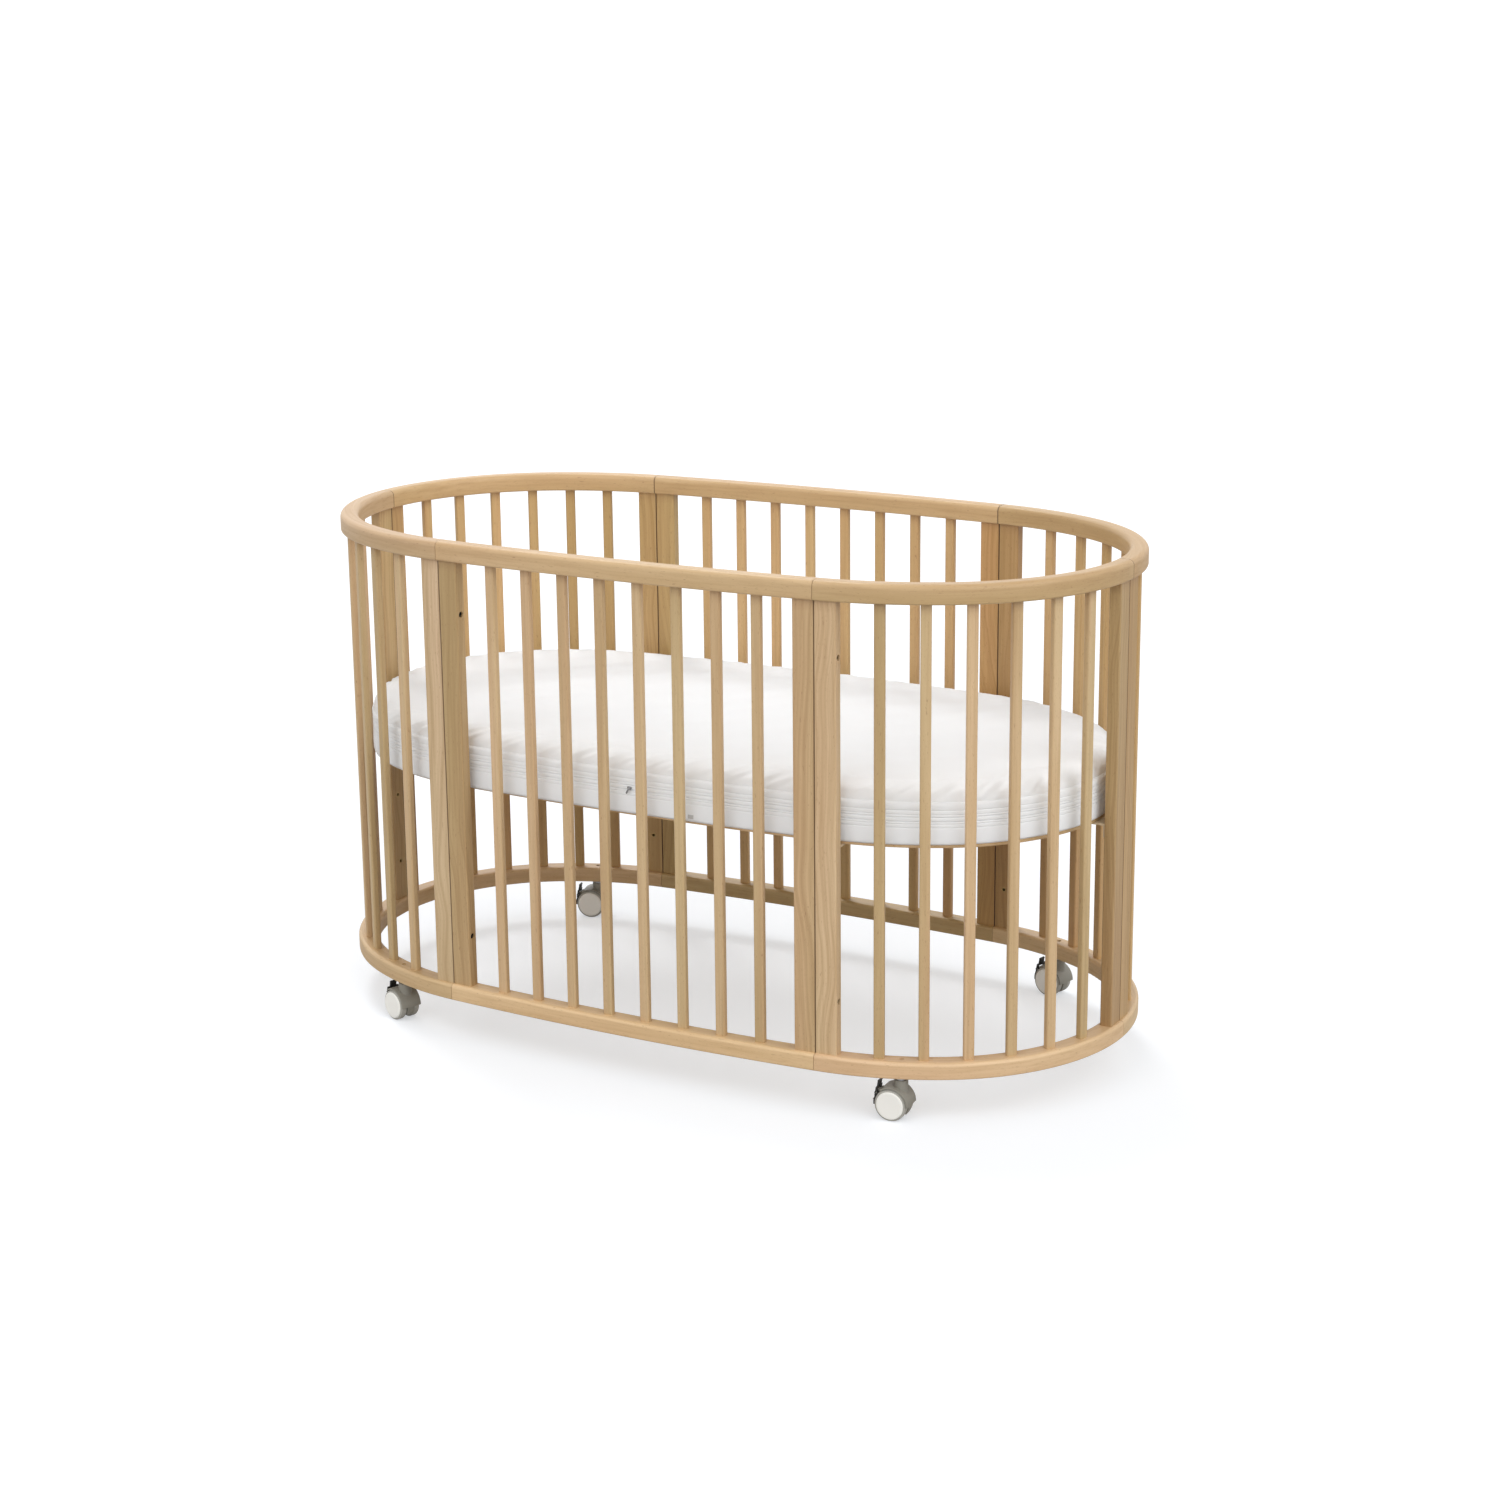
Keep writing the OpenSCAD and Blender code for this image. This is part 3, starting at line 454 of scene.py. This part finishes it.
def ring_faces(rings, count, closed=False):
    """Quads between neighbouring rings of count points; closed joins the last to the first."""
    faces = []
    for r in range(rings if closed else rings - 1):
        s = (r + 1) % rings
        for i in range(count):
            j = (i + 1) % count
            faces.append((r * count + i, r * count + j, s * count + j, s * count + i))
    return faces


def wave_noise(share, waves, seed):
    """A smooth closed random curve: sines with these whole numbers of waves in one share."""
    rng = np.random.default_rng(seed)
    total = np.zeros_like(share)
    for k in waves:
        size = rng.uniform(0.5, 1.0)
        total += size * np.sin(2 * np.pi * k * share + rng.uniform(0, 2 * np.pi))
    return total / math.sqrt(len(waves))


# ------------------------------------------------------------------ mattress
BAND_TOP = 0.065          # height of the stitched side band
ZIP_LOW, ZIP_HIGH = 0.034, 0.041
FOLD_SLANT = 1.15         # how far the gathers run sideways for each metre that they run in
FOLD_WAVES = range(58, 150, 5)
FOLD_SEED = 3
VOXEL = 0.0068
CLOTH_FRAMES = 20
CLOTH_REACH = 0.007       # the simulation may move a point no further than this
QUARTER_LENGTH = (SIDE_RADIUS * SEAM_ANGLE + SHOULDER_RADIUS * (SHOULDER_ANGLE - SEAM_ANGLE)
                  + END_RADIUS * (math.pi / 2 - SHOULDER_ANGLE))


def around(points):
    """For points seen from above: how far round the oval they lie, as a share of the way
    anticlockwise from the middle of the front, and how far inside the rails' centreline."""
    x, y = points[:, 0], points[:, 1]
    q = np.abs(points[:, :2])
    from_side, from_shoulder, from_end = q - SIDE_CENTRE, q - SHOULDER_CENTRE, q - END_CENTRE
    turn_side = np.arctan2(from_side[:, 0], from_side[:, 1])
    turn_shoulder = np.arctan2(from_shoulder[:, 0], from_shoulder[:, 1])
    turn_end = np.arctan2(from_end[:, 0], from_end[:, 1])
    on_end = (turn_end > SHOULDER_ANGLE) & (q[:, 0] > END_CENTRE[0])
    on_shoulder = ~on_end & (turn_side > SEAM_ANGLE)
    inside = SIDE_RADIUS - np.hypot(from_side[:, 0], from_side[:, 1])
    inside = np.where(on_shoulder, SHOULDER_RADIUS - np.hypot(*from_shoulder.T), inside)
    inside = np.where(on_end, END_RADIUS - np.hypot(*from_end.T), inside)
    length = SIDE_RADIUS * turn_side
    past_seam = SIDE_RADIUS * SEAM_ANGLE
    length = np.where(on_shoulder,
                      past_seam + SHOULDER_RADIUS * (turn_shoulder - SEAM_ANGLE), length)
    past_shoulder = past_seam + SHOULDER_RADIUS * (SHOULDER_ANGLE - SEAM_ANGLE)
    length = np.where(on_end, past_shoulder + END_RADIUS * (turn_end - SHOULDER_ANGLE), length)
    part = np.clip(length / QUARTER_LENGTH, 0, 1) / 4
    share = np.where(y < 0, np.where(x >= 0, part, 1 - part),
                     np.where(x >= 0, 0.5 - part, 0.5 + part))
    return share % 1.0, inside


def smooth_step(x):
    x = np.clip(x, 0, 1)
    return x * x * (3 - 2 * x)


def mesh_array(mesh):
    flat = np.empty(len(mesh.vertices) * 3)
    mesh.vertices.foreach_get("co", flat)
    return flat.reshape(-1, 3)


def white_cover(name, ribs):
    """White knitted cover: fine stitches, a faint cloudiness, and fine ribs on the side band."""
    g = Graph(name)
    c = g.coords()
    z = g.split(c)[2]
    knit = g.noise(g.vmath("MULTIPLY", c, (900.0, 900.0, 1500.0)), 1.0, 2.0, 0.6)
    loops = g.noise(c, 420.0, 2.0, 0.5)
    cloud = g.noise(c, 9.0, 3.0, 0.5)
    tone = (0.880, 0.902, 0.928) if ribs else (0.868, 0.882, 0.900)
    colour = g.mix(cloud, tone, tuple(v + 0.035 for v in tone))
    colour = g.mix(g.math("MULTIPLY", knit, 0.16), colour, (0.72, 0.72, 0.72))
    height = g.math("ADD", g.math("MULTIPLY", knit, 0.5), g.math("MULTIPLY", loops, 0.5))
    if ribs:
        rib = g.math("PINGPONG", g.math("MULTIPLY", z, 1000.0), 0.9)
        height = g.math("ADD", height, g.math("MULTIPLY", rib, 0.35))
    normal = g.bump(height, 0.30, 0.0005)
    return g.finish(colour, 0.86, normal, Sheen_Weight=0.2, Sheen_Roughness=0.5)


def mattress_top(cover):
    """The padded cover, blown up as cloth over its foam and gathered round its upper edge."""
    low, high = MATTRESS_LOW.z, MATTRESS_HIGH.z
    outline, outward = oval(MATTRESS_INSET, 0.009)
    count = len(outline)
    wall, edge = 0.0050, 0.014
    top = high - low - 0.0040
    profile = [(0.30, 0.0015), (0.06, 0.0015), (wall + 0.004, 0.0015), (wall, 0.006)]
    profile += [(wall, h) for h in np.arange(0.014, BAND_TOP - 0.004, 0.008)]
    profile += [(0.0012, BAND_TOP + 0.001)]
    for t in np.linspace(0.2, 1.0, 5) * math.pi / 2:
        profile.append((0.0010 + edge * (1 - math.cos(t)), top - edge * (1 - math.sin(t))))
    profile += [(d, top) for d in np.arange(0.024, 0.300, 0.012)]
    rings = [np.column_stack([outline - outward * inset, np.full(count, low + h)])
             for inset, h in profile]
    faces = ring_faces(len(rings), count)
    faces.append(tuple(range(count)))
    last = (len(rings) - 1) * count
    faces.append(tuple(range(last, last + count)))
    obj = add_object("mattress_top", np.vstack(rings), faces, cover)
    remesh = obj.modifiers.new("remesh", "REMESH")
    remesh.mode = "VOXEL"
    remesh.voxel_size = VOXEL
    apply_modifiers(obj)
    simulate(obj)
    finer = obj.modifiers.new("finer", "SUBSURF")
    finer.levels = finer.render_levels = 1
    apply_modifiers(obj)
    gather(obj)
    return obj


def simulate(obj):
    """Cloth under light pressure: the sides are held, the rest swells and buckles a little."""
    low = MATTRESS_LOW.z
    rest = mesh_array(obj.data)
    inset = around(rest)[1] - MATTRESS_INSET
    near_edge = np.clip((0.075 - inset) / 0.055, 0, 1)
    upper = np.clip((rest[:, 2] - low - BAND_TOP + 0.002) / 0.005, 0, 1)
    hold = np.where(upper < 0.5, 1.0, 0.25 * (1 - near_edge) + 0.01)
    loose = upper * (0.25 + 0.75 * near_edge)
    groups = {"held": hold, "loose": loose}
    for name, weights in groups.items():
        group = obj.vertex_groups.new(name=name)
        for level in np.unique(np.round(weights, 2)):
            chosen = np.nonzero(np.round(weights, 2) == level)[0]
            group.add([int(i) for i in chosen], float(level), "REPLACE")
    cloth = obj.modifiers.new("cloth", "CLOTH")
    s = cloth.settings
    s.quality = 5
    s.mass = 0.25
    s.tension_stiffness = s.compression_stiffness = 12
    s.shear_stiffness = 6
    s.bending_stiffness = 0.08
    s.use_pressure = True
    s.uniform_pressure_force = 4.0
    s.effector_weights.gravity = 0
    s.vertex_group_mass = "held"
    s.vertex_group_shrink = "loose"
    s.shrink_min, s.shrink_max = 0.0, -0.06
    cloth.point_cache.frame_start, cloth.point_cache.frame_end = 1, CLOTH_FRAMES
    for frame_number in range(1, CLOTH_FRAMES + 1):
        SCENE.frame_set(frame_number)
    apply_modifiers(obj)
    SCENE.frame_set(1)
    moved = mesh_array(obj.data) - rest
    span = np.linalg.norm(moved, axis=1, keepdims=True)
    moved *= np.minimum(1.0, CLOTH_REACH / np.maximum(span, 1e-9))
    obj.data.vertices.foreach_set("co", (rest + moved).ravel())
    obj.data.update()


def gather(obj):
    """Slanting puckers where the top is sewn to the side band, and a soft unevenness on top."""
    mesh = obj.data
    at = mesh_array(mesh)
    low, high = MATTRESS_LOW.z, MATTRESS_HIGH.z
    height = at[:, 2] - low
    share, inside = around(at)
    inset = inside - MATTRESS_INSET
    along = np.maximum(height - BAND_TOP, 0) + np.maximum(inset, 0)
    slant = share - FOLD_SLANT * along / (4 * QUARTER_LENGTH)
    folds = wave_noise(slant, FOLD_WAVES, FOLD_SEED)
    fine = wave_noise(slant, range(150, 260, 9), 8)
    stronger = 0.65 + 0.45 * wave_noise(share, range(5, 17), 21)
    envelope = smooth_step(along / 0.010) * (1 - smooth_step((along - 0.030) / 0.065))
    upper = smooth_step((height - BAND_TOP + 0.001) / 0.006)
    shift = envelope * upper * np.clip(stronger, 0.15, 1.3) * (0.00165 * folds + 0.00055 * fine)
    # quilted unevenness of the top
    x, y = at[:, 0], at[:, 1]
    quilt = (np.sin(2 * np.pi * (x / 0.105 + y / 0.130) + 0.9 * np.sin(21 * y))
             + np.sin(2 * np.pi * (x / 0.120 - y / 0.097) + 0.9 * np.sin(17 * x)))
    inner = smooth_step((inset - 0.020) / 0.05) * smooth_step((height - 0.080) / 0.006)
    shift += inner * 0.00075 * quilt
    normals = np.empty(len(mesh.vertices) * 3)
    mesh.vertices.foreach_get("normal", normals)
    at += normals.reshape(-1, 3) * shift[:, None]
    at[:, 2] = np.clip(at[:, 2], low + 0.0003, high + 0.0035)
    mesh.vertices.foreach_set("co", at.ravel())
    mesh.update()


def overhang(share):
    """How far the cover's lower edge hangs over the edge of the base, most at the front left."""
    return 0.0046 + 0.0027 * np.cos(2 * np.pi * (share - 0.80))


def side_band(cover):
    """The sewn band round the mattress, with the zip's two edges and rows of stitching."""
    low = MATTRESS_LOW.z
    outline, outward = oval(MATTRESS_INSET, 0.0034)
    count = len(outline)
    share = around(outline)[0]
    # height, depth and half width of each sewn line
    lines = [(0.0240, 0.0007, 0.0006), (0.0300, 0.0006, 0.0005), (ZIP_LOW, 0.0015, 0.0006),
             (ZIP_HIGH, 0.0015, 0.0006), (0.0450, 0.0006, 0.0005), (0.0520, 0.0007, 0.0006)]
    heights = set(np.round(np.linspace(0.0, BAND_TOP, 27), 5))
    for at, _, wide in lines:
        heights |= {round(at + d * wide, 5) for d in (-3.0, -1.8, -0.9, 0.0, 0.9, 1.8, 3.0)}
    heights = sorted(h for h in heights if 0.0 <= h <= BAND_TOP)
    edges = np.array([0.0] + [line[0] for line in lines] + [BAND_TOP])
    hang = overhang(share)
    lazy = 0.00035 * wave_noise(share, range(7, 23), 11)
    rings = []
    for h in heights:
        k = min(len(edges) - 2, int(np.searchsorted(edges, h, side="right")) - 1)
        width = edges[k + 1] - edges[k]
        part = (h - edges[k]) / width
        swell = 0.0009 * min(1.0, width / 0.012) * math.sin(math.pi * part) ** 0.7
        out = np.full(count, 0.0003 + swell)
        for n, (at, deep, wide) in enumerate(lines):
            out -= deep * math.exp(-((h - at) / wide) ** 2)
            pucker = wave_noise(share, range(210, 330, 9), 31 + n)
            out += 0.00010 * math.exp(-((h - at) / 0.004) ** 2) * pucker
        soft = wave_noise(share - 0.35 * h, range(50, 120, 6), 5)
        out += lazy + 0.00016 * soft * math.sin(math.pi * h / BAND_TOP) ** 2
        # gathered where it is sewn to the top
        slant = share - FOLD_SLANT * (h - BAND_TOP) / (4 * QUARTER_LENGTH)
        folds = wave_noise(slant, FOLD_WAVES, FOLD_SEED)
        out += 0.00050 * smooth_step((h - 0.052) / 0.010) * folds
        # its upper and lower edges turn in
        out -= 0.0024 * max(0.0, 1 - (BAND_TOP - h) / 0.0035) ** 2
        out -= 0.0006 * max(0.0, 1 - h / 0.003) ** 2
        level = h - hang * max(0.0, 1 - h / 0.022) ** 1.3
        rings.append((outline + outward * out[:, None], low + 0.0003 + level))
    for h in (BAND_TOP - 0.0015, 0.5 * BAND_TOP, 0.0010):
        rings.append((outline - outward * 0.009, np.full(count, low + 0.0003 + h)))
    lip = outline - outward * 0.0008
    rings.append((lip, np.full(count, low + 0.0008)))
    rings.append((lip, low + 0.0006 - hang))
    verts = np.vstack([np.column_stack([xy, z]) for xy, z in rings])
    faces = ring_faces(len(rings), count, closed=True)
    return add_object("mattress_side_band", verts, faces, cover)


def front_point(x, out):
    """A point of the mattress's front side, out metres proud of it."""
    reach = SIDE_RADIUS - MATTRESS_INSET + out
    return x, -(math.sqrt(reach ** 2 - x ** 2) + SIDE_CENTRE[1])


def rounded_plate(name, material, at, size, turn=0.0, rounding=0.0008):
    """A small plate standing against the mattress's front; turn is in its own plane."""
    bm = bmesh.new()
    bmesh.ops.create_cube(bm, size=1.0)
    bmesh.ops.scale(bm, vec=size, verts=bm.verts)
    bmesh.ops.bevel(bm, geom=bm.edges[:], offset=rounding, segments=3, affect="EDGES",
                    profile=0.5)
    matrix = Matrix.Translation(at) @ Matrix.Rotation(turn, 4, "Y")
    bmesh.ops.transform(bm, matrix=matrix, verts=bm.verts)
    mesh = bpy.data.meshes.new(name)
    bm.to_mesh(mesh)
    bm.free()
    mesh.materials.append(material)
    smooth_shaded(mesh)
    obj = bpy.data.objects.new(name, mesh)
    COLLECTION.objects.link(obj)
    return obj


def join_into(target, others):
    """Adds the others' meshes to the target's and removes the others."""
    bm = bmesh.new()
    for obj in [target] + others:
        bm.from_mesh(obj.data)
    bm.to_mesh(target.data)
    bm.free()
    for obj in others:
        bpy.data.objects.remove(obj)
    smooth_shaded(target.data)
    return target


def zip_and_labels():
    low = MATTRESS_LOW.z
    middle = (ZIP_LOW + ZIP_HIGH) / 2
    metal = steel("zip_steel", (0.30, 0.30, 0.31), 0.38)
    x, y = front_point(-0.001, 0.0022)
    slider = rounded_plate("zip_slider", metal, (x, y, low + middle), (0.0070, 0.0028, 0.0050))
    bridge = rounded_plate("zip_bridge", metal, (x, y - 0.0020, low + middle),
                           (0.0040, 0.0020, 0.0020))
    pull = rounded_plate("zip_pull", metal, (x - 0.0022, y - 0.0026, low + middle - 0.0044),
                         (0.0026, 0.0012, 0.0105), turn=math.radians(28))
    slider = join_into(slider, [bridge, pull])
    dark = plastic("label_dark_tape", (0.20, 0.20, 0.21), 0.8, 0.15, 0.05)
    x, y = front_point(0.026, 0.0019)
    tab = rounded_plate("zip_label", dark, (x, y, low + middle - 0.001), (0.0022, 0.0014, 0.0110),
                        turn=math.radians(-4), rounding=0.0004)
    x, y = front_point(0.110, 0.0012)
    pale = plastic("label_pale_tape", (0.56, 0.56, 0.56), 0.8, 0.1, 0.05)
    care = rounded_plate("care_label", pale, (x, y, low + 0.0040), (0.0100, 0.0010, 0.0065),
                         rounding=0.0003)
    return [slider, tab, care]


def mattress():
    top = mattress_top(white_cover("cover_top_white", ribs=False))
    band = side_band(white_cover("cover_side_white", ribs=True))
    for piece in [top, band] + zip_and_labels():
        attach(piece, "mattress")
    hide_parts("mattress")


mattress()


# ------------------------------------------------------------------ caster caps
# How each caster is turned, in degrees, as in the CAD model
HEADINGS = {"front_left": -19, "front_right": 4, "back_left": 16, "back_right": -12}
WHEEL_FACE = 0.0197       # outer faces of a caster's wheels, either side of its middle
CAP_BACK = WHEEL_FACE - 0.0001
# A slightly dished disc with a rounded lip, reaching over the groove to the tyre's face:
# radius, then distance from the caster's middle
CAP_PROFILE = [(r, CAP_BACK + d) for r, d in (
    (0.0001, 0.0), (0.0001, 0.00080), (0.0003, 0.00080), (0.004, 0.00082), (0.009, 0.0009),
    (0.014, 0.0010), (0.0190, 0.0012), (0.0208, 0.0012), (0.0218, 0.0009), (0.0225, 0.0003),
    (0.0227, -0.0008), (0.0214, -0.0008), (0.0211, 0.0))]
CAP_SEGMENTS = 72


def lathe(name, profile, centre, axis, material):
    """Turns a closed profile of (radius, distance along the axis) round the axis."""
    up = Vector((0, 0, 1))
    side = axis.cross(up).normalized()
    verts = []
    for r, d in profile:
        for i in range(CAP_SEGMENTS):
            a = 2 * math.pi * i / CAP_SEGMENTS
            verts.append(centre + axis * d + (side * math.cos(a) + up * math.sin(a)) * r)
    return add_object(name, verts, ring_faces(len(profile), CAP_SEGMENTS, closed=True), material)


def caster_caps():
    for corner, turn in HEADINGS.items():
        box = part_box(corner + "_caster_axle")
        centre = (box[0] + box[1]) / 2
        a = math.radians(turn)
        axle = Vector((-math.sin(a), math.cos(a), 0))
        caps = [lathe(corner + "_cap", CAP_PROFILE, centre, axle * way, cap_pale)
                for way in (-1, 1)]
        piece = join_into(caps[0], caps[1:])
        piece.name = corner + "_caps"
        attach(piece, corner + "_wheels")


caster_caps()

# ------------------------------------------------------------------ floor, light, camera
FLOOR_REACH = 800.0
FLOOR_GLOW = 0.49                          # what the camera sees the floor give off
FLOOR_TINT = (0.97, 0.985, 1.0, 1.0)
FLOOR_COLOUR = (0.545, 0.563, 0.592)       # for the camera
FLOOR_BOUNCE = 0.55                        # for the light that it throws back at the crib
# The world's strength: as light on the crib, as what shines in its lacquer, and as the backdrop
WORLD_LIGHT, WORLD_SHINE, WORLD_BACKDROP = 0.49, 1.5, 1.05
# name, azimuth (0 comes from -Y, 90 from +X), elevation, strength, angular size; in degrees
SUNS = (("front", -8, 38, 0.90, 60), ("right", 74, 35, 1.30, 60), ("behind", 232, 55, 0.95, 17))

CAMERA_AZIMUTH, CAMERA_ELEVATION, CAMERA_ROLL = 29.1967, 14.4401, -0.6082
CAMERA_TARGET = Vector((0.04297, -0.01921, 0.54456))
CAMERA_DISTANCE = 4.6748


def floor():
    mesh = bpy.data.meshes.new("floor")
    r = FLOOR_REACH
    mesh.from_pydata([(-r, -r, 0), (r, -r, 0), (r, r, 0), (-r, r, 0)], [], [(0, 1, 2, 3)])
    obj = bpy.data.objects.new("floor", mesh)
    COLLECTION.objects.link(obj)
    g = Graph("floor_pale")
    # the camera sees it near white, the crib gets only a weak bounce from it
    seen = g.node("ShaderNodeLightPath").outputs["Is Camera Ray"]
    g.link(g.math("MULTIPLY", seen, FLOOR_GLOW), g.shader.inputs["Emission Strength"])
    colour = g.mix(seen, (FLOOR_BOUNCE,) * 3, FLOOR_COLOUR)
    mesh.materials.append(g.finish(colour, 0.9, Emission_Color=FLOOR_TINT))


def sun(name, azimuth, elevation, strength, angle):
    lamp = bpy.data.lights.new(name, "SUN")
    lamp.energy = strength
    lamp.angle = math.radians(angle)
    obj = bpy.data.objects.new(name, lamp)
    a, e = math.radians(azimuth), math.radians(elevation)
    towards = Vector((math.sin(a) * math.cos(e), -math.cos(a) * math.cos(e), math.sin(e)))
    obj.rotation_mode = "QUATERNION"
    obj.rotation_quaternion = towards.to_track_quat("Z", "Y")
    COLLECTION.objects.link(obj)


def camera():
    azimuth, elevation = math.radians(CAMERA_AZIMUTH), math.radians(CAMERA_ELEVATION)
    roll = math.radians(CAMERA_ROLL)
    back = Vector((math.sin(azimuth) * math.cos(elevation),
                   -math.cos(azimuth) * math.cos(elevation), math.sin(elevation)))
    right = Vector((0, 0, 1)).cross(back).normalized()
    up = back.cross(right)
    x = math.cos(roll) * right + math.sin(roll) * up
    y = -math.sin(roll) * right + math.cos(roll) * up
    data = bpy.data.cameras.new("camera")
    data.sensor_width = 36.0
    data.lens = 66.972
    data.shift_x = 0.00125
    data.shift_y = -0.02803
    data.clip_end = 2000.0
    obj = bpy.data.objects.new("camera", data)
    matrix = Matrix((x, y, back)).transposed().to_4x4()
    matrix.translation = CAMERA_TARGET + back * CAMERA_DISTANCE
    obj.matrix_world = matrix
    COLLECTION.objects.link(obj)
    SCENE.camera = obj


def studio():
    """White surroundings, of a different strength for each kind of ray."""
    world = bpy.data.worlds.new("studio")
    world.use_nodes = True
    nodes, link = world.node_tree.nodes, world.node_tree.links.new
    sky = nodes["Background"]
    sky.inputs[0].default_value = (1.0, 1.0, 1.0, 1.0)
    path = nodes.new("ShaderNodeLightPath")
    shine = nodes.new("ShaderNodeMix")
    shine.inputs[2].default_value = WORLD_LIGHT
    shine.inputs[3].default_value = WORLD_SHINE
    link(path.outputs["Is Glossy Ray"], shine.inputs[0])
    level = nodes.new("ShaderNodeMix")
    level.inputs[3].default_value = WORLD_BACKDROP
    link(shine.outputs[0], level.inputs[2])
    link(path.outputs["Is Camera Ray"], level.inputs[0])
    link(level.outputs[0], sky.inputs[1])
    SCENE.world = world
    SCENE.view_settings.view_transform = "Standard"


floor()
for settings in SUNS:
    sun(*settings)
studio()
camera()
